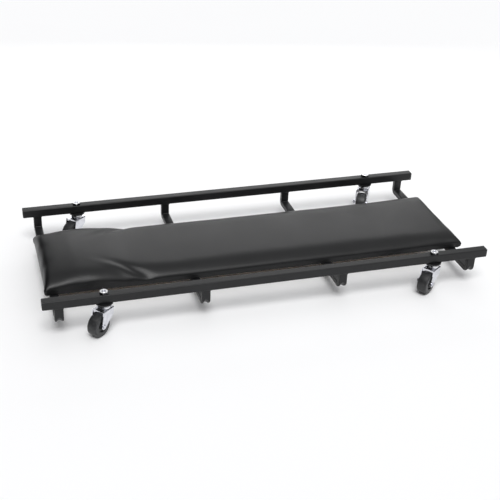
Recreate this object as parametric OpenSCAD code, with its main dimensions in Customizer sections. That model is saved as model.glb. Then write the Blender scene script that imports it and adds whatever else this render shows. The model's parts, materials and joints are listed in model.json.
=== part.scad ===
// Mechanics creeper: a padded board on a low tube frame with four swivel casters.
// Units are millimetres. The origin is on the floor, midway between the two rails and
// midway along them. +X points to the foot end, +Y to the far rail and +Z up.

/* [Frame] */
// overall length of the frame with its end caps
frame_len = 1016; // [900:1:1200]
// overall width of the frame
frame_w = 432; // [400:1:520]
// side of the square rail tube
rail_size = 20; // [19:0.5:25]
// wall of every steel tube
tube_wall = 1.5; // [1.2:0.1:2]
// outside corner radius of the rail tube
rail_corner = 2.5; // [2:0.1:3]
// height of the rail's top face above the floor
rail_top = 93; // [93:1:120]
// thickness of the plastic end cap outside the tube
cap_t = 3; // [2:0.5:5]

/* [Cross members] */
// width of the cross member tube along the frame
cross_w = 19; // [16:0.5:25]
// depth of the cross member tube
cross_d = 12; // [10:0.5:16]
// top of the dropped run above the floor
run_top = 46; // [44:1:60]
// distance between neighbouring cross members
cross_pitch = 315.67; // [250:0.01:330]
// inside radius of the crushed bend
bend_r = 2; // [1:0.5:6]
// depth of the dent on the outside of the bend
bend_dent = 3.6; // [1:0.1:4]

/* [Pad] */
// length of the pad
pad_len = 986; // [800:1:990]
// width of the pad
pad_w = 240; // [200:1:300]
// height of the plain part of the pad, cover to cover
pad_h = 28; // [24:0.5:40]
// thickness of the plywood board
board_t = 9; // [6:0.5:12]
// distance of the board's edge from the inside of the cover
board_inset = 5; // [1:0.5:6]
// thickness of the cover
cover_t = 1; // [0.8:0.1:1.5]
// radius of the pad's corners in plan
pad_corner = 16; // [10:1:40]
// radius of the pad's long upper edges
pad_roll = 12; // [8:1:14]
// radius of the crown across the pad
pad_crown = 2500; // [1500:100:6000]
// rise of the headrest over the plain pad
head_rise = 15; // [8:1:40]
// length of the headrest
head_len = 190; // [120:1:260]

/* [Casters] */
// distance of the caster stems from the middle of the frame
stem_x = 378; // [300:1:400]
// wheel diameter
wheel_d = 52; // [48:0.5:53]
// wheel width
wheel_w = 23.5; // [18:0.5:24]
// distance from the swivel axis to the axle
trail = 21; // [19:0.5:23]
// outside width of the fork
fork_w = 31; // [29:0.5:34]
// thickness of the fork sheet
fork_t = 1.9; // [1.5:0.1:2]
// number of balls in the swivel race
ball_n = 12; // [6:1:14]

/* [Hidden] */
$fn = 96;

steel_paint = [0.13, 0.13, 0.14];
plastic_black = [0.05, 0.05, 0.06];
vinyl_black = [0.08, 0.08, 0.09];
ply_tan = [0.72, 0.58, 0.4];
foam_grey = [0.6, 0.6, 0.58];
zinc = [0.8, 0.8, 0.84];
wheel_grey = [0.2, 0.2, 0.21];
far = 4000;            // a size larger than the whole part, for cutting tools
touch = 0.05;          // running clearance between a moving piece and its neighbour

// frame
rail_y = frame_w / 2 - rail_size / 2;
rail_bottom = rail_top - rail_size;
tube_len = frame_len - 2 * cap_t;
plug_gap = 0.1;
plug_len = 14;
plug_wall = 1.6;
cross_corner = 1.5;
cross_outer = rail_y + cross_d / 2;
cross_inner = rail_y - cross_d / 2;
run_bottom = run_top - cross_d;
bend_y = cross_inner - bend_r;
bend_z = run_top + bend_r;
dent_r = 6.5;          // radius of the dent across the tube
dent_arc_r = 40;       // radius of the dent along the tube
crease_r = 2.2;
crease_at = bend_r + 0.4;

// pad
pad_z = run_top;
board_top = pad_z + cover_t + board_t;
plain_top = pad_z + pad_h;
head_x = -pad_len / 2;
head_arc_r = (pow(head_len / 2, 2) + pow(head_rise * 0.6, 2)) / (1.2 * head_rise);
hem_w = 28;            // width of the cover's hem under the board
foam_split = plain_top - 5;
bolt_y = 70;
bolt_r = 3;
bolt_head_r = 5.5;
bolt_head_h = 3;
bolt_hole_r = 3.2;
bolt_socket_r = 2.4;    // hexagon socket in the bolt's head, corner radius
bolt_socket_d = 1.6;
tee_barrel_r = 3.9;
tee_flange_r = 9;
tee_flange_t = 1.2;
bolt_tip = board_top + 2;
staple_w = 10;
staple_wire = 0.8;
staple_leg = 6;
staple_pitch = 38;
staple_n = 12;         // staples on each side of the middle one, along a long edge
staple_end = 7.5;      // distance of the end staples from the pad's end
staple_inset = 16;     // distance of the staples from the pad's edge

// caster, heights above the floor
wheel_r = wheel_d / 2;
washer_t = 2.5;
washer_r = 19;
race_top = rail_bottom - washer_t;
plate_top = 60;
plate_bottom = plate_top - fork_t;
plate_back = -13;
plate_front = 21;
pin_r = 4;
stem_r = 5;
nut_af = 17;
nut_h = 5.5;
stem_top = rail_top + nut_h + 0.6;
drill_r = 2.7;         // drilled centre in the end of the stem
drill_depth = 5;
shoulder_z = 62.6;
ball_r = 2;
ball_pitch_r = 9.6;
ball_z = 63.1;
ridge_in = 7;
ridge_out = 12;
ridge_top = 62.3;
skirt_r = 14;
skirt_bottom = 61.2;
lower_race_t = 2.2;
lower_race_r = 8.5;
head_top = plate_bottom - lower_race_t - touch;
pin_head_r = 6.5;
pin_head_h = 2;
boss_r = 6.8;
leg_knee = [-11, 44];
leg_inner = fork_w / 2 - fork_t;
fold_r = 2.6;          // outside radius of the folds between plate and legs
weld = 0.01;           // how far bodies of one pressing run into each other
lip_h = 7;
lip_arch_r = 15;
lip_arch_drop = 10.6;  // arch centre below the lip's lower edge
axle_r = 3;
axle_head_r = 4.6;
axle_head_h = 2.6;
axle_nut_af = 10;
axle_nut_h = 5;
bush_r = 5;
hub_r = 14;
hub_recess = 3.2;
boss_hub_r = 8;
tread_edge = 4.5;

// the four casters: [end, side, direction of the trail at rest in degrees]
CASTERS = [[-1, -1, 222], [1, -1, 217.5], [-1, 1, 221], [1, 1, 238]];

function on_circle(c, r, a) = [c[0] + r * cos(a), c[1] + r * sin(a)];
// angle on a circle where a line from point p touches it, on side s
function touch_angle(p, c, r, s) =
    atan2(p[1] - c[1], p[0] - c[0]) + s * acos(r / norm(p - c));

module rounded(w, h, r) {
    square([w - 2 * r, h], center = true);
    square([w, h - 2 * r], center = true);
    for (sx = [-1, 1], sy = [-1, 1])
        translate([sx * (w / 2 - r), sy * (h / 2 - r)]) circle(r);
}

module tube_hollow(w, h, r) {
    rounded(w - 2 * tube_wall, h - 2 * tube_wall, r - tube_wall + 0.5);
}

module tube_profile(w, h, r) {
    difference() {
        rounded(w, h, r);
        tube_hollow(w, h, r);
    }
}

// ---- frame ----

module rail(side) {
    color(steel_paint)
    difference() {
        translate([-tube_len / 2, side * rail_y, rail_top - rail_size / 2])
            rotate([90, 0, 90])
                linear_extrude(tube_len)
                    tube_profile(rail_size, rail_size, rail_corner);
        for (e = [-1, 1])
            translate([e * stem_x, side * rail_y, rail_bottom - 1])
                cylinder(r = stem_r + 0.1, h = rail_size + 2);
    }
}

module end_cap(e, side) {
    hollow = rail_size - 2 * tube_wall - 2 * plug_gap;
    color(plastic_black)
    translate([e * tube_len / 2, side * rail_y, rail_top - rail_size / 2])
        rotate([90, 0, 90 * e])
        union() {
            linear_extrude(cap_t - 1) rounded(rail_size, rail_size, rail_corner);
            translate([0, 0, cap_t - 1])
                linear_extrude(1) rounded(rail_size - 1.6, rail_size - 1.6, rail_corner);
            translate([0, 0, -plug_len])
                linear_extrude(plug_len)
                difference() {
                    rounded(hollow, hollow, 1.5);
                    square(hollow - 2 * plug_wall, center = true);
                }
        }
}

// places children on one bend: the bend's axis along Z, its middle at 45 degrees
module at_bend(side) {
    translate([0, side * bend_y, bend_z])
        rotate([0, 0, side * 90]) rotate([-90, 0, 0]) children();
}

// a U of tube, solid when hollow is 0 and the space inside it when hollow is 1
module cross_u(hollow) {
    translate([0, bend_y, run_top - cross_d / 2])
        rotate([90, 0, 0]) linear_extrude(2 * bend_y) cross_section(cross_w, cross_d, hollow);
    for (side = [-1, 1]) {
        translate([0, side * rail_y, bend_z])
            linear_extrude(rail_bottom - bend_z + hollow) cross_section(cross_w, cross_d, hollow);
        at_bend(side)
            rotate_extrude(angle = 90)
                translate([bend_r + cross_d / 2, 0]) cross_section(cross_d, cross_w, hollow);
    }
}

module cross_section(w, d, hollow) {
    if (hollow == 0) rounded(w, d, cross_corner);
    else tube_hollow(w, d, cross_corner);
}

// the outer wall is pressed in between two ears, and the inner wall is creased
module crush(grow) {
    middle = bend_r + cross_d + dent_r - bend_dent;
    for (side = [-1, 1])
        at_bend(side)
            rotate([0, 0, 45]) {
                translate([middle - dent_arc_r, 0, 0])
                    rotate([0, 0, -45])
                        rotate_extrude(angle = 90)
                            translate([dent_arc_r, 0]) circle(dent_r + grow);
                translate([crease_at, 0, -cross_w])
                    cylinder(r = crease_r + grow, h = 2 * cross_w);
            }
}

module cross_member(i) {
    color(steel_paint)
    translate([(i - 2.5) * cross_pitch, 0, 0])
    difference() {
        cross_u(0);
        crush(0);
        difference() {
            cross_u(1);
            crush(tube_wall);
        }
        for (side = [-1, 1])
            translate([0, side * bolt_y, run_bottom - 1]) cylinder(r = bolt_hole_r, h = cross_d + 2);
    }
}

// ---- pad ----

// outline of the pad seen from the end, shrunk by inset all round
module pad_section(inset, top) {
    half = pad_w / 2 - inset;
    roll = pad_roll - inset / 2;
    intersection() {
        union() {
            translate([-half, pad_z + inset]) square([2 * half, top - roll - pad_z - inset]);
            translate([-(half - roll), pad_z + inset]) square([2 * (half - roll), top - pad_z - inset]);
            for (s = [-1, 1]) translate([s * (half - roll), top - roll]) circle(roll);
        }
        translate([0, top - pad_crown]) circle(pad_crown, $fn = 720);
    }
}

module pad_plan(inset) {
    rounded(pad_len - 2 * inset, pad_w - 2 * inset, pad_corner - inset);
}

module pad_plain(inset) {
    intersection() {
        translate([-far / 2, 0, 0])
            rotate([90, 0, 90]) linear_extrude(far) pad_section(inset, plain_top - inset);
        linear_extrude(far) pad_plan(inset);
    }
}

// the pillow is a slice of a large roll laid across the head end
module pad_pillow(inset) {
    top = plain_top + head_rise - inset;
    intersection() {
        translate([-far / 2, 0, 0])
            rotate([90, 0, 90]) linear_extrude(far) pad_section(inset, top);
        linear_extrude(far) pad_plan(inset);
        translate([head_x + 0.45 * head_len, far / 2, top - head_arc_r])
            rotate([90, 0, 0]) cylinder(r = head_arc_r, h = far, $fn = 256);
        translate([head_x, -far / 2, 0]) cube([head_len, far, far]);
    }
}

module bolt_places() {
    for (i = [1:4], side = [-1, 1])
        translate([(i - 2.5) * cross_pitch, side * bolt_y, 0]) children();
}

module pad_board() {
    inset = cover_t + board_inset;
    color(ply_tan)
    translate([0, 0, pad_z + cover_t])
        difference() {
            linear_extrude(board_t) pad_plan(inset);
            bolt_places() translate([0, 0, -1]) cylinder(r = tee_barrel_r, h = board_t + 2);
        }
}

module pad_foam() {
    color(foam_grey)
    difference() {
        pad_plain(cover_t);
        translate([-far / 2, -far / 2, 0]) cube([far, far, board_top]);
        bolt_places() cylinder(r = tee_flange_r + 0.3, h = bolt_tip + 0.5);
    }
}

module headrest_foam() {
    color(foam_grey)
    difference() {
        pad_pillow(cover_t);
        pad_plain(cover_t);
        translate([-far / 2, -far / 2, 0]) cube([far, far, foam_split]);
    }
}

module pad_cover() {
    color(vinyl_black)
    difference() {
        union() {
            pad_plain(0);
            pad_pillow(0);
        }
        pad_plain(cover_t);
        pad_pillow(cover_t);
        translate([0, 0, -1])
            linear_extrude(pad_z + 10)
                rounded(pad_len - 2 * hem_w, pad_w - 2 * hem_w, 4);
        bolt_places() cylinder(r = bolt_hole_r, h = pad_z + cover_t + 1);
    }
}

module staple() {
    translate([0, 0, pad_z - staple_wire]) {
        translate([-staple_w / 2, -staple_wire / 2, 0]) cube([staple_w, staple_wire, staple_wire]);
        for (s = [-1, 1])
            translate([s * (staple_w - staple_wire) / 2 - staple_wire / 2, -staple_wire / 2, 0])
                cube([staple_wire, staple_wire, staple_leg]);
    }
}

module cover_staples() {
    color(zinc) {
        for (k = [-staple_n:staple_n], side = [-1, 1])
            if (abs(abs(k * staple_pitch) - cross_pitch / 2) > cross_w
                && abs(abs(k * staple_pitch) - 1.5 * cross_pitch) > cross_w)
                translate([k * staple_pitch, side * (pad_w / 2 - staple_inset), 0]) staple();
        for (e = [-1, 1], k = [-2:2])
            translate([e * (pad_len / 2 - staple_end), k * staple_pitch, 0])
                rotate([0, 0, 90]) staple();
    }
}

module pad_bolts() {
    color(zinc)
    bolt_places() {
        translate([0, 0, run_bottom - bolt_head_h])
            difference() {
                cylinder(r = bolt_head_r, h = bolt_head_h);
                translate([0, 0, -1]) cylinder(r = bolt_socket_r, h = bolt_socket_d + 1, $fn = 6);
            }
        translate([0, 0, run_bottom]) cylinder(r = bolt_r, h = bolt_tip - run_bottom);
    }
}

module pad_tee_nuts() {
    color(zinc)
    bolt_places()
        difference() {
            union() {
                translate([0, 0, pad_z + cover_t + 1])
                    cylinder(r = tee_barrel_r, h = board_t - 1);
                translate([0, 0, board_top]) cylinder(r = tee_flange_r, h = tee_flange_t);
            }
            cylinder(r = bolt_r, h = far);
        }
}

// ---- casters ----

module at_stem(i) {
    translate([CASTERS[i][0] * stem_x, CASTERS[i][1] * rail_y, 0]) children();
}

// swivel frame: X points from the stem towards the axle, Y along the axle
module at_swivel(i) {
    at_stem(i) rotate([0, 0, CASTERS[i][2]]) children();
}

module along_axle() {
    translate([trail, 0, wheel_r]) rotate([-90, 0, 0]) children();
}

module hex(af) {
    circle(r = af / sqrt(3), $fn = 6);
}

module stem_nuts() {
    color(zinc)
    for (i = [0:3])
        at_stem(i)
            translate([0, 0, rail_top])
                difference() {
                    intersection() {
                        linear_extrude(nut_h) rotate([0, 0, 12 + 7 * i]) hex(nut_af);
                        translate([0, 0, -nut_af / 2])
                            cylinder(r1 = nut_af / 2 + nut_h + 3.6, r2 = nut_af / 2 - 0.1, h = nut_h + nut_af / 2);
                    }
                    translate([0, 0, -1]) cylinder(r = stem_r, h = nut_h + 2);
                }
}

module stem_washers() {
    color(steel_paint)
    for (i = [0:3])
        at_stem(i)
            translate([0, 0, race_top])
                difference() {
                    cylinder(r = washer_r, h = washer_t);
                    translate([0, 0, -1]) cylinder(r = stem_r, h = washer_t + 2);
                }
}

module stem(i) {
    color(zinc)
    at_stem(i)
        rotate_extrude()
            polygon([
                [0, head_top - pin_head_h], [pin_head_r - 1.2, head_top - pin_head_h],
                [pin_head_r, head_top - pin_head_h + 1], [pin_head_r, head_top],
                [pin_r, head_top], [pin_r, shoulder_z], [stem_r, shoulder_z],
                [stem_r, stem_top - 0.6], [stem_r - 0.6, stem_top], [drill_r + 0.5, stem_top],
                [drill_r, stem_top - 0.5], [drill_r, stem_top - drill_depth],
                [0, stem_top - drill_depth - drill_r * 0.6]
            ]);
}

module upper_race(i) {
    color(zinc)
    at_stem(i)
        difference() {
            rotate_extrude()
                polygon([
                    [stem_r, shoulder_z + 0.6], [skirt_r - 1.5, shoulder_z + 0.6],
                    [skirt_r - 1.5, skirt_bottom], [skirt_r, skirt_bottom],
                    [skirt_r, 64.6], [skirt_r - 1.4, 67.2], [skirt_r - 3.6, race_top],
                    [stem_r, race_top]
                ]);
            translate([0, 0, ball_z])
                rotate_extrude() translate([ball_pitch_r, 0]) circle(ball_r + touch);
        }
}

module lower_race(i) {
    color(zinc)
    at_swivel(i)
        translate([0, 0, plate_bottom - lower_race_t])
            difference() {
                cylinder(r = lower_race_r, h = lower_race_t);
                translate([0, 0, -1]) cylinder(r = pin_r + touch, h = lower_race_t + 2);
            }
}

module balls(i) {
    color(zinc)
    at_swivel(i)
        for (k = [0:ball_n - 1])
            rotate([0, 0, k * 360 / ball_n])
                translate([ball_pitch_r, 0, ball_z]) sphere(ball_r - touch);
}

module leg_outline() {
    boss = [trail, wheel_r];
    back = on_circle(boss, boss_r, touch_angle(leg_knee, boss, boss_r, 1));
    front = on_circle(boss, boss_r, touch_angle([plate_front, plate_top], boss, boss_r, -1));
    polygon([
        [plate_back, plate_top], leg_knee, back, boss, front, [plate_front, plate_top]
    ]);
    translate(boss) circle(boss_r);
}

// the sheet is folded over at the sides, so the upper edge of each leg is round
module fork(i) {
    color(zinc)
    at_swivel(i)
        difference() {
            union() {
                for (s = [-1, 1])
                    translate([0, s * (fork_w / 2 - fork_t / 2) + fork_t / 2, 0])
                        rotate([90, 0, 0]) linear_extrude(fork_t) leg_outline();
                translate([plate_back, -leg_inner - weld, plate_bottom])
                    cube([plate_front - plate_back, 2 * (leg_inner + weld), fork_t]);
                // raised ball track
                translate([0, 0, plate_top - weld]) cylinder(r = ridge_out, h = ridge_top - plate_top + weld);
                // front lip with its arch
                difference() {
                    translate([plate_front - fork_t, -leg_inner - weld, plate_top - lip_h])
                        cube([fork_t, 2 * (leg_inner + weld), lip_h]);
                    translate([plate_front - fork_t - 1, 0, plate_top - lip_h - lip_arch_drop])
                        rotate([0, 90, 0]) cylinder(r = lip_arch_r, h = fork_t + 2);
                }
            }
            cylinder(r = pin_r + touch, h = far);
            translate([0, 0, plate_top + 0.4]) cylinder(r = ridge_in, h = far);
            translate([0, 0, ball_z])
                rotate_extrude() translate([ball_pitch_r, 0]) circle(ball_r + touch);
            along_axle() translate([0, 0, -fork_w]) cylinder(r = axle_r, h = 2 * fork_w);
            for (s = [-1, 1]) fold_round(s, fold_r);
        }
}

// rounds the folded edge between the plate and a leg
module fold_round(s, r) {
    translate([plate_back - 1, s * (fork_w / 2 - r), plate_top - r])
        rotate([90, 0, 90])
            linear_extrude(plate_front - plate_back + 2)
                difference() {
                    translate([s > 0 ? 0 : -r - 1, 0]) square(r + 1);
                    circle(r);
                }
}

module axle_bolt(i) {
    color(zinc)
    at_swivel(i)
        along_axle() {
            translate([0, 0, fork_w / 2]) rotate_extrude()
                polygon([
                    [0, 0], [axle_head_r, 0], [axle_head_r, 1.2], [axle_head_r - 0.7, 2.1],
                    [axle_head_r - 2, axle_head_h], [0, axle_head_h]
                ]);
            translate([0, 0, -fork_w / 2 - axle_nut_h - 1])
                cylinder(r = axle_r, h = fork_w + axle_nut_h + 1);
        }
}

module axle_nut(i) {
    color(zinc)
    at_swivel(i)
        along_axle()
            translate([0, 0, -fork_w / 2 - axle_nut_h])
                difference() {
                    linear_extrude(axle_nut_h) hex(axle_nut_af);
                    translate([0, 0, -1]) cylinder(r = axle_r, h = axle_nut_h + 2);
                }
}

module axle_bush(i) {
    color(zinc)
    at_swivel(i)
        along_axle()
            translate([0, 0, -leg_inner])
                difference() {
                    cylinder(r = bush_r, h = 2 * leg_inner);
                    translate([0, 0, -1]) cylinder(r = axle_r, h = 2 * leg_inner + 2);
                }
}

module wheel(i) {
    half = wheel_w / 2;
    color(wheel_grey)
    at_swivel(i)
        along_axle()
            difference() {
                rotate_extrude()
                    intersection() {
                        union() {
                            translate([0, -half + tread_edge]) square([wheel_r, wheel_w - 2 * tread_edge]);
                            translate([0, -half]) square([wheel_r - tread_edge, wheel_w]);
                            for (s = [-1, 1])
                                translate([wheel_r - tread_edge, s * (half - tread_edge)]) circle(tread_edge);
                        }
                        translate([0, -half]) square([wheel_r, wheel_w]);
                        translate([wheel_r - 60, 0]) circle(60);
                    }
                translate([0, 0, -half - 1]) cylinder(r = bush_r + touch, h = wheel_w + 2);
                // dished sides round the hub
                for (s = [0, 1]) mirror([0, 0, s])
                    translate([0, 0, half - hub_recess])
                        difference() {
                            cylinder(r = hub_r, h = hub_recess + 1);
                            translate([0, 0, -1]) cylinder(r = boss_hub_r, h = hub_recess + 3);
                        }
            }
}

rail(-1);  // rail_near
rail(1);  // rail_far
cross_member(1);  // cross_member_1
cross_member(2);  // cross_member_2
cross_member(3);  // cross_member_3
cross_member(4);  // cross_member_4
end_cap(-1, -1);  // end_cap_head_near
end_cap(1, -1);  // end_cap_foot_near
end_cap(-1, 1);  // end_cap_head_far
end_cap(1, 1);  // end_cap_foot_far
pad_board();
pad_foam();
headrest_foam();
pad_cover();
cover_staples();
pad_bolts();
pad_tee_nuts();
stem_nuts();
stem_washers();
stem(0);  // stem_head_near
stem(1);  // stem_foot_near
stem(2);  // stem_head_far
stem(3);  // stem_foot_far
upper_race(0);  // upper_race_head_near
upper_race(1);  // upper_race_foot_near
upper_race(2);  // upper_race_head_far
upper_race(3);  // upper_race_foot_far
fork(0);  // fork_head_near
fork(1);  // fork_foot_near
fork(2);  // fork_head_far
fork(3);  // fork_foot_far
balls(0);  // balls_head_near
balls(1);  // balls_foot_near
balls(2);  // balls_head_far
balls(3);  // balls_foot_far
lower_race(0);  // lower_race_head_near
lower_race(1);  // lower_race_foot_near
lower_race(2);  // lower_race_head_far
lower_race(3);  // lower_race_foot_far
axle_bolt(0);  // axle_bolt_head_near
axle_bolt(1);  // axle_bolt_foot_near
axle_bolt(2);  // axle_bolt_head_far
axle_bolt(3);  // axle_bolt_foot_far
axle_nut(0);  // axle_nut_head_near
axle_nut(1);  // axle_nut_foot_near
axle_nut(2);  // axle_nut_head_far
axle_nut(3);  // axle_nut_foot_far
axle_bush(0);  // axle_bush_head_near
axle_bush(1);  // axle_bush_foot_near
axle_bush(2);  // axle_bush_head_far
axle_bush(3);  // axle_bush_foot_far
wheel(0);  // wheel_head_near
wheel(1);  // wheel_foot_near
wheel(2);  // wheel_head_far
wheel(3);  // wheel_foot_far
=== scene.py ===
"""Mechanics creeper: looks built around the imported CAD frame. Metres, same frame as the CAD."""

import json
import math

import bmesh
import bpy
import numpy as np
from mathutils import Matrix, Vector, noise


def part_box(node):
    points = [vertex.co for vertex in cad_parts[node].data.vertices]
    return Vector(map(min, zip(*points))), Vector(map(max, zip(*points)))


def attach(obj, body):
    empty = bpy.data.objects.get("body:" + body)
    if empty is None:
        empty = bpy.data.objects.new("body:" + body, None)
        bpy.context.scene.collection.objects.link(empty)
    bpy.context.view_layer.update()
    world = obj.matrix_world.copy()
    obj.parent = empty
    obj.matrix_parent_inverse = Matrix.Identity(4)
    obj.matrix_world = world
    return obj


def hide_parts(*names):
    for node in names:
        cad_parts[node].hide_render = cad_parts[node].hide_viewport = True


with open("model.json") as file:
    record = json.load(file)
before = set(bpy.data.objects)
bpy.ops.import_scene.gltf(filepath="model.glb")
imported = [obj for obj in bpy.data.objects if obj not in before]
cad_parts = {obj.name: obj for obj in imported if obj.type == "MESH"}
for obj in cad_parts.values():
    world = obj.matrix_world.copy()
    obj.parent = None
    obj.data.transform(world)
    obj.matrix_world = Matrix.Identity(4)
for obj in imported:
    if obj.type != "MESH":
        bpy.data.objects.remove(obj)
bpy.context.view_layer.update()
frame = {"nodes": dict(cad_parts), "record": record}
NODES = frame["nodes"]
ROOT = "frame_and_pad"
CASTERS = ("head_near", "foot_near", "head_far", "foot_far")
MM = 0.001
JOINTS = {j["name"]: j for j in frame["record"]["behaviour"]["joints"]}


# ---------------------------------------------------------------- node helpers


def add(tree, kind, inputs=None, **attrs):
    """A shader node with its properties, and its inputs set or linked."""
    made = tree.nodes.new("ShaderNode" + kind)
    for key, value in attrs.items():
        setattr(made, key, value)
    for key, value in (inputs or {}).items():
        socket = made.inputs[key]
        if isinstance(value, bpy.types.NodeSocket):
            tree.links.new(value, socket)
        else:
            socket.default_value = value
    return made


def material(name, **shader):
    """A node material with a Principled shader, whose own sockets take the uniform values."""
    made = bpy.data.materials.new(name)
    made.use_nodes = True
    tree = made.node_tree
    tree.nodes.clear()
    out = tree.nodes.new("ShaderNodeOutputMaterial")
    surface = tree.nodes.new("ShaderNodeBsdfPrincipled")
    tree.links.new(surface.outputs[0], out.inputs["Surface"])
    for key, value in shader.items():
        surface.inputs[key.replace("_", " ")].default_value = value
    return made, tree, surface


def coords(tree, scale=(1, 1, 1), offset=(0, 0, 0)):
    """Object coordinates in metres, which are the row frame for every piece here."""
    place = add(tree, "TexCoord")
    return add(
        tree,
        "Mapping",
        {"Vector": place.outputs["Object"], "Scale": scale, "Location": offset},
    ).outputs[0]


def noise_tex(tree, where, scale, detail=3.0, rough=0.5, distortion=0.0):
    return add(
        tree,
        "TexNoise",
        {
            "Vector": where,
            "Scale": scale,
            "Detail": detail,
            "Roughness": rough,
            "Distortion": distortion,
        },
    ).outputs["Fac"]


def remap(tree, value, low, high, to_low, to_high):
    return add(
        tree,
        "MapRange",
        {
            "Value": value,
            "From Min": low,
            "From Max": high,
            "To Min": to_low,
            "To Max": to_high,
        },
    ).outputs["Result"]


def math_node(tree, operation, a, b=0.5):
    made = add(tree, "Math", operation=operation)
    for socket, value in zip(made.inputs, (a, b)):
        if isinstance(value, bpy.types.NodeSocket):
            tree.links.new(value, socket)
        else:
            socket.default_value = value
    return made.outputs[0]


def mix_colour(tree, factor, a, b):
    made = add(tree, "Mix", data_type="RGBA")
    for socket, value in zip(
        (made.inputs[0], made.inputs[6], made.inputs[7]), (factor, a, b)
    ):
        if isinstance(value, bpy.types.NodeSocket):
            tree.links.new(value, socket)
        else:
            socket.default_value = value
    return made.outputs[2]


def bump(tree, height, distance, strength=1.0, normal=None):
    inputs = {"Height": height, "Distance": distance, "Strength": strength}
    if normal is not None:
        inputs["Normal"] = normal
    return add(tree, "Bump", inputs).outputs[0]


def edge_mask(tree, radius):
    """1 on edges, 0 on flats: how far the rounded normal leans from the true one."""
    rounded = add(tree, "Bevel", {"Radius": radius}, samples=4)
    plain = add(tree, "NewGeometry")
    lean = add(
        tree,
        "VectorMath",
        {0: rounded.outputs[0], 1: plain.outputs["Normal"]},
        operation="DOT_PRODUCT",
    )
    return remap(tree, lean.outputs["Value"], 0.995, 0.86, 0.0, 1.0)


# ---------------------------------------------------------------- materials


def powder_coat(name, base=(0.006, 0.0062, 0.0068, 1), bright=(0.012, 0.0123, 0.0133, 1)):
    """Semi-gloss black powder coat: fine orange peel, faint dust, and edges lightened as rubbed
    wear and painted highlight.
    """
    made, tree, surface = material(name, Specular_IOR_Level=0.36)
    here = coords(tree)
    peel = noise_tex(tree, here, 620, 2.0, 0.55)
    cloud = noise_tex(tree, here, 9, 5.0, 0.6)
    fine = noise_tex(tree, here, 2600, 2.0, 0.5)
    # rubbed wear on the edges, partly a painted highlight along them
    rub_and_edge_highlight = math_node(
        tree, "MULTIPLY", edge_mask(tree, 0.0011), remap(tree, cloud, 0.35, 0.7, 0.15, 1.0)
    )
    tone = mix_colour(tree, remap(tree, cloud, 0.3, 0.7, 0.0, 1.0), base, bright)
    # edges lightened toward pale grey: rubbed wear and painted highlight
    tone = mix_colour(tree, math_node(tree, "MULTIPLY", rub_and_edge_highlight, 0.35), tone, (0.075, 0.077, 0.082, 1))
    tree.links.new(tone, surface.inputs["Base Color"])
    rough = remap(tree, cloud, 0.25, 0.75, 0.33, 0.46)
    rough = math_node(tree, "ADD", rough, math_node(tree, "MULTIPLY", fine, 0.04))
    tree.links.new(rough, surface.inputs["Roughness"])
    height = math_node(tree, "ADD", peel, math_node(tree, "MULTIPLY", fine, 0.25))
    tree.links.new(bump(tree, height, 0.00006), surface.inputs["Normal"])
    return made


def zinc_plate(
    name, tint=(0.74, 0.745, 0.79, 1), shade=(0.5, 0.505, 0.55, 1), rough=(0.16, 0.3), painted_flank_shade=None
):
    """Bright zinc plate, cloudy with fine drawn lines; the last argument, when given, is a painted
    shade colour for upright faces.
    """
    made, tree, surface = material(name, Metallic=1.0)
    here = coords(tree)
    cloud = noise_tex(tree, here, 85, 4.0, 0.6)
    speck = noise_tex(tree, here, 900, 2.0, 0.6)
    lines = noise_tex(tree, coords(tree, scale=(1, 1, 0.06)), 2400, 2.0, 0.5)
    blend = remap(tree, cloud, 0.3, 0.72, 0.0, 1.0)
    tone = mix_colour(tree, blend, tint, shade)
    # painted shade: faces that turn away from up are darkened toward the given colour
    if painted_flank_shade:
        face_normal = add(tree, "NewGeometry").outputs["Normal"]
        facing = add(tree, "SeparateXYZ", {0: face_normal}).outputs["Z"]
        tone = mix_colour(tree, remap(tree, facing, 0.72, 0.4, 0.0, 1.0), tone, painted_flank_shade)
    tree.links.new(tone, surface.inputs["Base Color"])
    amount = remap(tree, cloud, 0.3, 0.7, rough[0], rough[1])
    amount = math_node(tree, "ADD", amount, math_node(tree, "MULTIPLY", speck, 0.05))
    tree.links.new(amount, surface.inputs["Roughness"])
    height = math_node(tree, "ADD", speck, math_node(tree, "MULTIPLY", lines, 0.5))
    tree.links.new(bump(tree, height, 0.00003), surface.inputs["Normal"])
    return made


def black_plate(name):
    """Black oxide steel with edges lightened, as rubbed wear and painted highlight."""
    made, tree, surface = material(name, Metallic=0.6)
    here = coords(tree)
    cloud = noise_tex(tree, here, 160, 4.0, 0.6)
    # rubbed wear on the edges, partly a painted highlight along them
    rub_and_edge_highlight = math_node(tree, "MULTIPLY", edge_mask(tree, 0.0005), 0.5)
    tone = mix_colour(tree, cloud, (0.012, 0.012, 0.013, 1), (0.03, 0.03, 0.032, 1))
    tone = mix_colour(tree, rub_and_edge_highlight, tone, (0.3, 0.3, 0.3, 1))
    tree.links.new(tone, surface.inputs["Base Color"])
    tree.links.new(remap(tree, cloud, 0.2, 0.8, 0.32, 0.5), surface.inputs["Roughness"])
    tree.links.new(bump(tree, cloud, 0.00004), surface.inputs["Normal"])
    return made


def moulded_plastic(name):
    """Spark-textured black plastic."""
    made, tree, surface = material(name, Specular_IOR_Level=0.45)
    here = coords(tree)
    grain = noise_tex(tree, here, 1900, 3.0, 0.6)
    cloud = noise_tex(tree, here, 60, 3.0, 0.5)
    tone = mix_colour(tree, cloud, (0.006, 0.006, 0.0065, 1), (0.014, 0.014, 0.015, 1))
    tree.links.new(tone, surface.inputs["Base Color"])
    tree.links.new(remap(tree, grain, 0.2, 0.8, 0.42, 0.58), surface.inputs["Roughness"])
    tree.links.new(bump(tree, grain, 0.00008), surface.inputs["Normal"])
    return made


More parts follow.
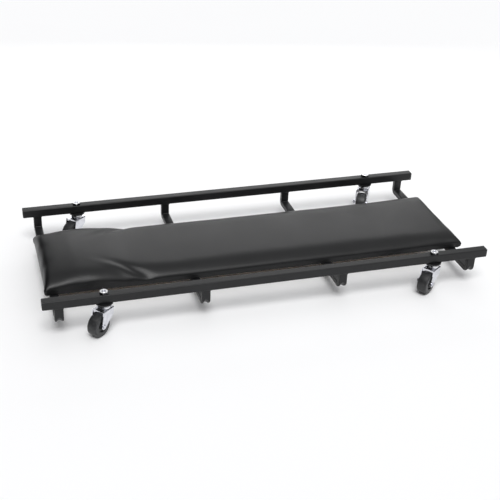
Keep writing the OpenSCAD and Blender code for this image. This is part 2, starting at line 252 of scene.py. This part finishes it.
def vinyl(name):
    """Black upholstery vinyl: pebble grain of about 1 mm, satin, with soft tone changes."""
    made, tree, surface = material(
        name, Specular_IOR_Level=0.34, Sheen_Weight=0.01, Sheen_Roughness=0.4
    )
    here = coords(tree)
    jitter = add(tree, "TexNoise", {"Vector": here, "Scale": 420.0})
    pebbles = add(
        tree,
        "TexVoronoi",
        {
            "Vector": mix_colour(tree, 0.0012, here, jitter.outputs["Color"]),
            "Scale": 1050.0,
            "Smoothness": 0.6,
        },
        feature="SMOOTH_F1",
    ).outputs["Distance"]
    folds = noise_tex(tree, here, 300, 4.0, 0.55)
    cloud = noise_tex(tree, here, 11, 4.0, 0.55)
    tone = mix_colour(
        tree,
        remap(tree, cloud, 0.3, 0.7, 0.0, 1.0),
        (0.0035, 0.0036, 0.004, 1),
        (0.006, 0.0062, 0.0068, 1),
    )
    # painted shade: the hollows between the pebbles are darkened
    tone = mix_colour(
        tree, remap(tree, pebbles, 0.25, 0.75, 0.0, 0.5), tone, (0.002, 0.002, 0.0022, 1)
    )
    tree.links.new(tone, surface.inputs["Base Color"])
    rough = remap(tree, cloud, 0.25, 0.75, 0.3, 0.38)
    rough = math_node(tree, "ADD", rough, remap(tree, pebbles, 0.2, 0.8, 0.0, 0.08))
    tree.links.new(rough, surface.inputs["Roughness"])
    grain = math_node(tree, "SUBTRACT", math_node(tree, "MULTIPLY", folds, 0.5), pebbles)
    tree.links.new(bump(tree, grain, 0.00009), surface.inputs["Normal"])
    return made


def plywood(name):
    """Raw plywood face with the grain along X, and the plies on its edges."""
    made, tree, surface = material(name, Specular_IOR_Level=0.3)
    stretched = coords(tree, scale=(0.35, 6.0, 6.0))
    rings = noise_tex(tree, stretched, 5.5, 6.0, 0.62, 1.4)
    band = add(
        tree,
        "TexWave",
        {
            "Vector": coords(tree, scale=(0.5, 7.0, 1.0)),
            "Scale": 3.0,
            "Distortion": 14.0,
            "Detail": 4.0,
        },
        bands_direction="Y",
    ).outputs["Fac"]
    pores = noise_tex(tree, coords(tree, scale=(14, 900, 900)), 1.0, 2.0, 0.7)
    plies = add(
        tree,
        "TexWave",
        {"Vector": coords(tree), "Scale": 175.0, "Distortion": 0.6},
        bands_direction="Z",
    ).outputs["Fac"]
    tone = mix_colour(tree, rings, (0.25, 0.185, 0.12, 1), (0.37, 0.285, 0.195, 1))
    tone = mix_colour(tree, remap(tree, band, 0.4, 0.9, 0.0, 0.45), tone, (0.19, 0.13, 0.08, 1))
    tone = mix_colour(tree, remap(tree, pores, 0.62, 0.75, 0.0, 0.5), tone, (0.09, 0.06, 0.035, 1))
    facing = add(tree, "SeparateXYZ", {0: add(tree, "NewGeometry").outputs["Normal"]})
    side = remap(tree, math_node(tree, "ABSOLUTE", facing.outputs["Z"]), 0.6, 0.3, 0.0, 1.0)
    glue_lines = math_node(tree, "MULTIPLY", side, remap(tree, plies, 0.45, 0.6, 0.0, 0.75))
    tone = mix_colour(tree, glue_lines, tone, (0.2, 0.12, 0.06, 1))
    tree.links.new(tone, surface.inputs["Base Color"])
    tree.links.new(remap(tree, pores, 0.2, 0.8, 0.55, 0.75), surface.inputs["Roughness"])
    height = math_node(tree, "ADD", rings, math_node(tree, "MULTIPLY", pores, 0.8))
    tree.links.new(bump(tree, height, 0.0002), surface.inputs["Normal"])
    return made


def foam(name):
    """Open-cell foam."""
    made, tree, surface = material(name, Specular_IOR_Level=0.2)
    here = coords(tree)
    cells = add(tree, "TexVoronoi", {"Vector": here, "Scale": 700.0}).outputs["Distance"]
    tone = mix_colour(tree, cells, (0.56, 0.54, 0.47, 1), (0.36, 0.34, 0.29, 1))
    tree.links.new(tone, surface.inputs["Base Color"])
    tree.links.new(remap(tree, cells, 0.1, 0.7, 0.8, 0.95), surface.inputs["Roughness"])
    tree.links.new(bump(tree, cells, 0.0005), surface.inputs["Normal"])
    return made


def wheel_rubber(name, centre, axis):
    """Hard rubber wheel: satin tread with faint scuffs, moulding rings on the sides."""
    made, tree, surface = material(name, Specular_IOR_Level=0.5)
    here = coords(tree)
    arm = add(tree, "VectorMath", {0: here, 1: centre}, operation="SUBTRACT").outputs[0]
    across = add(tree, "VectorMath", {0: arm, 1: axis}, operation="DOT_PRODUCT").outputs["Value"]
    squared = add(tree, "VectorMath", {0: arm, 1: arm}, operation="DOT_PRODUCT").outputs["Value"]
    radius = math_node(
        tree,
        "SQRT",
        math_node(tree, "SUBTRACT", squared, math_node(tree, "MULTIPLY", across, across)),
    )
    rings = math_node(tree, "SINE", math_node(tree, "MULTIPLY", radius, 2 * math.pi / 0.0016))
    tread = remap(tree, radius, 0.0215, 0.0245, 0.0, 1.0)
    grain = noise_tex(tree, here, 1300, 3.0, 0.6)
    scuff = noise_tex(tree, here, 190, 5.0, 0.65)
    tone = mix_colour(tree, scuff, (0.012, 0.0125, 0.0135, 1), (0.026, 0.0265, 0.028, 1))
    tone = mix_colour(
        tree,
        math_node(tree, "MULTIPLY", tread, remap(tree, scuff, 0.5, 0.75, 0.0, 0.5)),
        tone,
        (0.06, 0.058, 0.055, 1),
    )
    tree.links.new(tone, surface.inputs["Base Color"])
    worn = math_node(tree, "MULTIPLY", tread, 0.05)
    rough = math_node(tree, "ADD", remap(tree, scuff, 0.3, 0.7, 0.34, 0.46), worn)
    tree.links.new(rough, surface.inputs["Roughness"])
    sides = math_node(tree, "MULTIPLY", rings, math_node(tree, "SUBTRACT", 1.0, tread))
    height = math_node(tree, "ADD", grain, math_node(tree, "MULTIPLY", sides, 0.35))
    tree.links.new(bump(tree, height, 0.00008), surface.inputs["Normal"])
    return made


def floor_paint(name):
    made, tree, surface = material(name, Roughness=0.85, Specular_IOR_Level=0.1)
    here = coords(tree)
    cloud = noise_tex(tree, here, 1.2, 2.0, 0.5)
    tone = mix_colour(tree, cloud, (0.93, 0.93, 0.935, 1), (0.95, 0.95, 0.955, 1))
    tree.links.new(tone, surface.inputs["Base Color"])
    return made


PAINT = powder_coat("powder_coat_black")
ZINC = zinc_plate("zinc_plate")
FORK_ZINC = zinc_plate("fork_zinc", (0.82, 0.825, 0.87, 1), (0.6, 0.605, 0.65, 1), (0.06, 0.14))
RACE_ZINC = zinc_plate("race_zinc", (0.86, 0.865, 0.89, 1), (0.66, 0.665, 0.7, 1), (0.06, 0.14))
# the nuts' upright faces get painted shade, a near-black tone, while their tops stay bright zinc
NUT_ZINC_PAINTED_SHADE = zinc_plate(
    "nut_zinc_painted_flank_shade", (0.9, 0.9, 0.92, 1), (0.74, 0.745, 0.77, 1), (0.2, 0.32), (0.035, 0.035, 0.038, 1)
)
BLACK = black_plate("black_oxide")
PLASTIC = moulded_plastic("cap_plastic")
VINYL = vinyl("vinyl_black")
PLY = plywood("plywood")
FOAM = foam("foam")


def coat(name, mat):
    """Puts one material on every face of a CAD node or piece."""
    obj = NODES[name] if isinstance(name, str) else name
    if obj.data.materials:
        for i in range(len(obj.data.materials)):
            obj.data.materials[i] = mat
    else:
        obj.data.materials.append(mat)
    return obj


def soften(name, width, segments=2, angle=32):
    """Rounds a CAD node's sharp edges by a modifier, for the highlight that a real edge has."""
    obj = NODES[name] if isinstance(name, str) else name
    made = obj.modifiers.new("edge_round", "BEVEL")
    made.width = width
    made.segments = segments
    made.limit_method = "ANGLE"
    made.angle_limit = math.radians(angle)
    made.harden_normals = False
    made.use_clamp_overlap = True
    return obj


for name in NODES:
    if name.startswith(("rail_", "cross_member")):
        coat(name, PAINT)
    elif name.startswith("end_cap"):
        soften(coat(name, PLASTIC), 0.0006)
    elif name == "pad_board":
        coat(name, PLY)
    elif name in ("pad_foam", "headrest_foam"):
        coat(name, FOAM)
    elif name.startswith("fork_"):
        soften(coat(name, FORK_ZINC), 0.00035)
    elif name.startswith("upper_race"):
        soften(coat(name, RACE_ZINC), 0.0004)
    elif name == "stem_washers":
        soften(coat(name, BLACK), 0.0003)
    elif name.startswith("wheel_"):
        joint = JOINTS["wheel_roll_" + name[len("wheel_"):]]
        soften(coat(name, wheel_rubber("rubber_" + name, joint["pos_m"], joint["axis"])), 0.0006, 3)
    elif name == "stem_nuts":
        soften(coat(name, NUT_ZINC_PAINTED_SHADE), 0.0005)
    elif name == "pad_bolts" or name.startswith(("axle_bolt", "axle_nut")):
        soften(coat(name, ZINC), 0.00035)
    else:
        coat(name, ZINC)


def piece(name, mesh, mat, body=ROOT, smooth=True):
    """A finished mesh as a named piece that rides on a body."""
    obj = bpy.data.objects.new(name, mesh)
    bpy.context.scene.collection.objects.link(obj)
    mesh.materials.append(mat)
    for face in mesh.polygons:
        face.use_smooth = smooth
    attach(obj, body)
    return obj


# ---------------------------------------------------------------- the padded board

PAD_LO, PAD_HI = (Vector(c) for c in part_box("pad_cover"))
PLAIN_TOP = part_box("pad_foam")[1][2] + 1.0 * MM
HALF_L = PAD_HI.x
HALF_W = PAD_HI.y
SIDE_ROLL = 42 * MM
END_ROLL = 17 * MM
ROLL_POWER = 2 / 2.2
CORNER_R = 6 * MM
CELL = 5 * MM
SETTLE_FRAMES = 20
SETTLE_CAP = 3 * MM  # the raw movement is up to 28 mm, so most points go about this far
EVEN_OUT = 8  # smoothing passes over the capped movement
CREASE_END = 236 * MM  # from the head end to where the headrest's crease meets the side
CREASE_SLOPE = 1.4  # how far it runs along the pad for each millimetre across
CREASE_WIDTH = 15 * MM
CREASE_DEPTH = 4.2
RIDGE_BACK = 30 * MM
RIDGE_RISE = 1.6
GATHER_SIDE = 13 * MM  # groove of the gathered vinyl in the pad's side, from the corner
GATHER_END = 12 * MM  # the same in the pad's end
GATHER_WIDTH = 3.2 * MM
GATHER_REACH = 6 * MM
GATHER_DEPTH = 1.5 * MM
POINT_REACH = 17 * MM
# the sheet under its widest line: inset in millimetres, height as a share of the widest line's
HEM = [
    (0.25, 0.86), (0.6, 0.70), (0.9, 0.5), (1.1, 0.32), (1.3, 0.17), (1.5, 0.05), (1.9, 0.012),
    (3.4, 0.005), (8.0, 0.004), (18.0, 0.004), (29.0, 0.004),
]
# along the pad, in millimetres from the head end
HEAD_RISE = [
    (0, 4.5), (13, 8.2), (46, 11.3), (76, 14.2), (106, 13.9), (151, 11.2), (178, 7.6),
    (196, 5.2), (253, 1.4), (300, 0), (986, 0),
]
WIDEST = [
    (0, 11), (25, 15.5), (70, 19), (120, 21), (150, 15.5), (180, 9.5), (205, 7.5), (235, 9),
    (265, 10.5), (986, 10.5),
]
SMOOTH_SPAN = np.linspace(-14, 14, 15)


def along(table, x):
    """A smoothed table of lengths along the pad, in metres."""
    at = (np.asarray(x)[..., None] + HALF_L) / MM + SMOOTH_SPAN
    weight = np.exp(-((SMOOTH_SPAN / 8.0) ** 2))
    table = np.array(table, float)
    return (np.interp(at, table[:, 0], table[:, 1]) * weight).sum(-1) / weight.sum() * MM


def rolled(half, roll, steps, cell):
    """Positions across a rolled sheet and how high each stands, 0 on the edge and 1 on the flat."""
    turn = np.linspace(0, math.pi / 2, steps + 1)
    inset = roll * (1 - np.cos(turn) ** ROLL_POWER)
    height = np.sin(turn) ** ROLL_POWER
    count = max(2, int(round(2 * (half - roll) / cell)))
    flat = np.linspace(-(half - roll), half - roll, count + 1)[1:-1]
    where = np.concatenate([-half + inset, flat, (half - inset)[::-1]])
    high = np.concatenate([height, np.ones(len(flat)), height[::-1]])
    return where, high


def square_off(x, y, radius):
    """Rounds the plan's corners: the square corner is drawn in to an arc."""
    dx = np.maximum(np.abs(x) - (HALF_L - radius), 0)
    dy = np.maximum(np.abs(y) - (HALF_W - radius), 0)
    both = (dx > 0) & (dy > 0)
    power = 2.6
    size = (dx ** power + dy ** power) ** (1 / power)
    keep = np.where(both, np.maximum(dx, dy) / np.maximum(size, 1e-9), 1.0)
    nx = np.where(both, np.sign(x) * (HALF_L - radius + dx * keep), x)
    ny = np.where(both, np.sign(y) * (HALF_W - radius + dy * keep), y)
    return nx, ny


def pad_mesh():
    """The cover as one sheet: crowned top, rolled edges, sides, and the hem under the board."""
    xs, hx = rolled(HALF_L, END_ROLL, 8, CELL)
    ys, hy = rolled(HALF_W, SIDE_ROLL, 12, CELL)
    gx, gy = np.meshgrid(xs, ys, indexing="ij")
    lift = hx[:, None] * hy[None, :]
    across = np.abs(gy) / HALF_W
    from_head = (gx + HALF_L) / MM
    crown = 1.6 * MM * (1 - across ** 2) - 0.8 * MM
    droop = 1 - 0.35 * across ** 2 - 0.45 * across ** 4 * np.exp(-((from_head / 55) ** 2))
    widest = PAD_LO.z + along(WIDEST, gx)
    tall = PLAIN_TOP - 0.8 * MM + crown + along(HEAD_RISE, gx) * droop - widest
    gz = widest + tall * lift
    px, py = square_off(gx, gy, CORNER_R)
    verts = [tuple(v) for v in np.stack([px, py, gz], -1).reshape(-1, 3)]
    n, m = len(xs), len(ys)
    faces = [
        (i * m + j, (i + 1) * m + j, (i + 1) * m + j + 1, i * m + j + 1)
        for i in range(n - 1)
        for j in range(m - 1)
    ]
    ring = (
        [i * m for i in range(n)]
        + [(n - 1) * m + j for j in range(1, m)]
        + [i * m + m - 1 for i in range(n - 2, -1, -1)]
        + [j for j in range(m - 2, 0, -1)]
    )
    pinned = []
    above = ring
    wide = widest.reshape(-1) - PAD_LO.z
    for inset, share in HEM:
        level = []
        for v in ring:
            x = gx.reshape(-1)[v]
            y = gy.reshape(-1)[v]
            sx = x * (HALF_L - inset * MM) / HALF_L
            sy = y * (HALF_W - inset * MM) / HALF_W
            sx, sy = square_off(sx, sy, max(CORNER_R - inset * MM * 0.4, 2 * MM))
            level.append(len(verts))
            verts.append((float(sx), float(sy), PAD_LO.z + share * float(wide[v])))
        k = len(ring)
        faces += [(above[(a + 1) % k], above[a], level[a], level[(a + 1) % k]) for a in range(k)]
        if inset > 1.0:
            pinned += level
        above = level
    mesh = bpy.data.meshes.new("pad_cover_soft")
    mesh.from_pydata(verts, [], faces)
    mesh.validate()
    bm = bmesh.new()
    bm.from_mesh(mesh)
    bmesh.ops.recalc_face_normals(bm, faces=bm.faces)
    top = max(bm.faces, key=lambda f: f.calc_center_median().z)
    if top.normal.z < 0:
        bmesh.ops.reverse_faces(bm, faces=bm.faces)
    bm.to_mesh(mesh)
    bm.free()
    return mesh, pinned


def puff(obj, pinned, cap):
    """Swells the sheet under pressure with its hem held; the cap sets how far most points go."""
    rest = np.empty(len(obj.data.vertices) * 3)
    obj.data.vertices.foreach_get("co", rest)
    rest = rest.reshape(-1, 3)
    group = obj.vertex_groups.new(name="hem")
    group.add([int(i) for i in pinned], 1.0, "REPLACE")
    cloth = obj.modifiers.new("settle", "CLOTH")
    s = cloth.settings
    s.quality = 6
    s.mass = 0.35
    s.tension_stiffness = 28
    s.compression_stiffness = 22
    s.shear_stiffness = 9
    s.bending_stiffness = 1.6
    s.tension_damping = 12
    s.compression_damping = 12
    s.shear_damping = 12
    s.air_damping = 4
    s.vertex_group_mass = "hem"
    s.pin_stiffness = 5
    s.use_pressure = True
    s.uniform_pressure_force = 4.0
    s.shrink_min = -0.006
    s.effector_weights.gravity = 0
    cloth.collision_settings.use_collision = False
    cloth.collision_settings.use_self_collision = False
    scene = bpy.context.scene
    for f in range(1, SETTLE_FRAMES + 1):
        scene.frame_set(f)
    deps = bpy.context.evaluated_depsgraph_get()
    done = obj.evaluated_get(deps).to_mesh()
    moved = np.empty(len(done.vertices) * 3)
    done.vertices.foreach_get("co", moved)
    moved = moved.reshape(-1, 3)
    obj.modifiers.remove(cloth)
    scene.frame_set(1)
    step = moved - rest
    size = np.linalg.norm(step, axis=1, keepdims=True)
    print("cloth moved up to %.2f mm, mean %.2f mm" % (size.max() / MM, size.mean() / MM))
    held = step * cap * np.tanh(size / cap) / np.maximum(size, 1e-9)
    ends = np.empty(len(obj.data.edges) * 2, dtype=int)
    obj.data.edges.foreach_get("vertices", ends)
    ends = ends.reshape(-1, 2)
    count = np.bincount(ends.reshape(-1), minlength=len(rest))[:, None] + 1.0
    for _ in range(EVEN_OUT):
        total = held.copy()
        np.add.at(total, ends[:, 0], held[ends[:, 1]])
        np.add.at(total, ends[:, 1], held[ends[:, 0]])
        held = total / count
    obj.data.vertices.foreach_set("co", (rest + held).reshape(-1))
    obj.data.update()


def hill(away, width):
    """A smooth hump of height 1."""
    return np.exp(-((away / width) ** 2))


def tucks(obj):
    """Presses the creases in: beside the end of the headrest, and the gathers at the corners."""
    co = np.empty(len(obj.data.vertices) * 3)
    obj.data.vertices.foreach_get("co", co)
    co = co.reshape(-1, 3)
    x, y, z = co[:, 0].copy(), co[:, 1].copy(), co[:, 2].copy()
    high = (z - PAD_LO.z) / along(WIDEST, x)
    above_board = np.clip((z - PAD_LO.z - 10 * MM) / (6 * MM), 0, 1)
    for side in (-1, 1):
        inner = HALF_W - y * side
        # a valley that runs from the top down to the side, with a lit ridge outside it
        reach = hill(inner - 26 * MM, 25 * MM)
        path = PAD_LO.x + CREASE_END - inner * CREASE_SLOPE
        valley = hill(x - path, CREASE_WIDTH) * CREASE_DEPTH
        ridge = hill(x - path + RIDGE_BACK, CREASE_WIDTH) * RIDGE_RISE
        press = (valley - ridge) * reach * MM
        co[:, 2] -= press * np.clip(high - 0.9, 0, 1)
        co[:, 1] -= side * press * 0.4 * above_board
        for end in (-1, 1):
            length_in = HALF_L - x * end
            low = np.clip(1.5 - high, 0, 1) * np.clip(high * 4, 0, 1) * GATHER_DEPTH
            co[:, 1] -= (
                side * low * hill(length_in - GATHER_SIDE, GATHER_WIDTH) * hill(inner, GATHER_REACH)
            )
            co[:, 0] -= (
                end * low * hill(inner - GATHER_END, GATHER_WIDTH) * hill(length_in, GATHER_REACH)
            )
            # the gathered vinyl stands out in a point at the corner
            point = hill(np.hypot(inner, length_in), POINT_REACH) * np.clip(high * 2.5, 0, 1)
            co[:, 0] += end * point * (5.5 if end > 0 else 2.5) * MM
            co[:, 1] += side * point * 1.5 * MM
    obj.data.vertices.foreach_set("co", co.reshape(-1))
    obj.data.update()


sheet, hem = pad_mesh()
cover = piece("pad_cover_soft", sheet, VINYL)
puff(cover, hem, SETTLE_CAP)
tucks(cover)
smooth = cover.modifiers.new("smooth", "SUBSURF")
smooth.levels = 1
smooth.render_levels = 1
thick = cover.modifiers.new("thickness", "SOLIDIFY")
thick.thickness = 0.9 * MM
thick.offset = -1.0
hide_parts("pad_cover", "pad_foam", "headrest_foam")


# ---------------------------------------------------------------- weld beads


def bead(path, radius, step, seed):
    """A run of overlapping weld ripples along a closed path of (point, outward) pairs."""
    mesh = bpy.data.meshes.new("weld")
    verts, faces = [], []
    around = 8
    total = len(path)
    for i, (point, out) in enumerate(path):
        ripple = 0.5 + 0.5 * math.cos(2 * math.pi * i / step)
        swell = 1 + 0.16 * ripple + 0.14 * noise.noise(Vector((i * 0.21, seed, 0.3)))
        for k in range(around):
            turn = 2 * math.pi * k / around
            off = Vector(out) * math.cos(turn) + Vector((0, 0, 1)) * math.sin(turn) * 0.85
            verts.append(Vector(point) + off * radius * swell)
    for i in range(total):
        for k in range(around):
            a = i * around + k
            b = i * around + (k + 1) % around
            c = ((i + 1) % total) * around + (k + 1) % around
            d = ((i + 1) % total) * around + k
            faces.append((a, b, c, d))
    mesh.from_pydata(verts, [], faces)
    return mesh


def box_loop(cx, cy, z, hx, hy, spacing):
    """Points along the foot of an upright, with the outward direction at each."""
    out = []
    corners = [(-hx, -hy), (hx, -hy), (hx, hy), (-hx, hy)]
    for a in range(4):
        p, q = Vector(corners[a] + (0,)), Vector(corners[(a + 1) % 4] + (0,))
        count = max(2, int((q - p).length / spacing))
        side = Vector(((q - p).y, -(q - p).x, 0)).normalized()
        for k in range(count):
            point = p.lerp(q, k / count)
            if k == 0:
                before = p - Vector(corners[a - 1] + (0,))
                side_here = (side + Vector((before.y, -before.x, 0)).normalized()).normalized()
            else:
                side_here = side
            out.append((Vector((cx, cy, z)) + point, side_here))
    return out


WELD_R = 1.9 * MM
WELD_DOWN = 1.0 * MM
WELD_IN = 0.4 * MM
WELD_STEP = 0.55 * MM
WELD_RIPPLE = 3.2  # steps along the seam from one ripple to the next
rail_lo, rail_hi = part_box("rail_near")
rail_mid = (rail_lo[1] + rail_hi[1]) / 2
parts = []
for index in range(1, 5):
    low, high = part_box("cross_member_%d" % index)
    mid = (low[0] + high[0]) / 2
    half_x = (high[0] - low[0]) / 2
    half_y = high[1] + rail_mid
    for side in (-1, 1):
        loop = box_loop(
            mid,
            -side * rail_mid,
            high[2] - WELD_DOWN,
            half_x - WELD_IN,
            half_y - WELD_IN,
            WELD_STEP,
        )
        parts.append(bead(loop, WELD_R, WELD_RIPPLE, index * 7 + side))
joined = bmesh.new()
for part in parts:
    joined.from_mesh(part)
    bpy.data.meshes.remove(part)
welds = bpy.data.meshes.new("weld_beads")
joined.to_mesh(welds)
joined.free()
piece("weld_beads", welds, PAINT)


# ---------------------------------------------------------------- studio

floor_mesh = bpy.data.meshes.new("floor")
floor_mesh.from_pydata([(-15, -15, 0), (15, -15, 0), (15, 15, 0), (-15, 15, 0)], [], [(0, 1, 2, 3)])
floor = bpy.data.objects.new("floor", floor_mesh)
bpy.context.scene.collection.objects.link(floor)
floor_mesh.materials.append(floor_paint("floor_paint"))


def lamp(kind, name, place, target, power):
    light = bpy.data.lights.new(name, kind)
    light.energy = power
    obj = bpy.data.objects.new(name, light)
    bpy.context.scene.collection.objects.link(obj)
    obj.location = place
    obj.rotation_euler = (Vector(target) - Vector(place)).to_track_quat("-Z", "Y").to_euler()
    return obj


SUN_ELEVATION = math.radians(61)
sun_from = Vector((-0.12, -math.cos(SUN_ELEVATION), math.sin(SUN_ELEVATION)))
sun = lamp("SUN", "key_sun", sun_from, (0, 0, 0), 1.95)
sun.data.angle = math.radians(30)

card = lamp("AREA", "back_card", (0.35, 1.35, 0.62), (0.1, 0.1, 0.08), 4.0)
card.data.shape = "RECTANGLE"
card.data.size, card.data.size_y = 1.7, 0.45
card.visible_camera = False

# the surroundings: brighter upward, with a black flag beyond the head end
world = bpy.data.worlds.new("studio")
bpy.context.scene.world = world
world.use_nodes = True
sky = world.node_tree
toward = add(sky, "SeparateXYZ", {0: add(sky, "TexCoord").outputs["Generated"]})
height = remap(sky, toward.outputs["Z"], 0.05, 0.95, 0.37, 0.84)
flag = remap(sky, toward.outputs["X"], 0.0, -0.42, 1.0, 0.04)
open_top = remap(sky, toward.outputs["Z"], 0.72, 0.95, 0.0, 1.0)
level_now = math_node(sky, "MULTIPLY", height, math_node(sky, "MAXIMUM", flag, open_top))
sky.links.new(level_now, sky.nodes["Background"].inputs["Strength"])
sky.nodes["Background"].inputs["Color"].default_value = (0.985, 0.99, 1, 1)

# ---------------------------------------------------------------- camera

AZIMUTH, ELEVATION, ROLL = (math.radians(a) for a in (-16.33, 30.05, 1.908))
back_dir = Vector(
    (
        math.sin(AZIMUTH) * math.cos(ELEVATION),
        -math.cos(AZIMUTH) * math.cos(ELEVATION),
        math.sin(ELEVATION),
    )
)
level = (-back_dir).cross(Vector((0, 0, 1))).normalized()
rising = level.cross(-back_dir).normalized()
right = level * math.cos(ROLL) + rising * math.sin(ROLL)
up = -level * math.sin(ROLL) + rising * math.cos(ROLL)
aim = Vector((0, 0, rail_hi[2]))
eye = aim + back_dir * 2.31561 - right * 0.05737 - up * 0.05174
lens = bpy.data.cameras.new("camera")
lens.lens = 70.79
lens.sensor_width = 36
lens.shift_x = 0.0504
lens.clip_start = 0.05
camera = bpy.data.objects.new("camera", lens)
bpy.context.scene.collection.objects.link(camera)
camera.matrix_world = Matrix(
    (
        (right.x, up.x, back_dir.x, eye.x),
        (right.y, up.y, back_dir.y, eye.y),
        (right.z, up.z, back_dir.z, eye.z),
        (0, 0, 0, 1),
    )
)
bpy.context.scene.camera = camera
bpy.context.scene.view_settings.view_transform = "Standard"
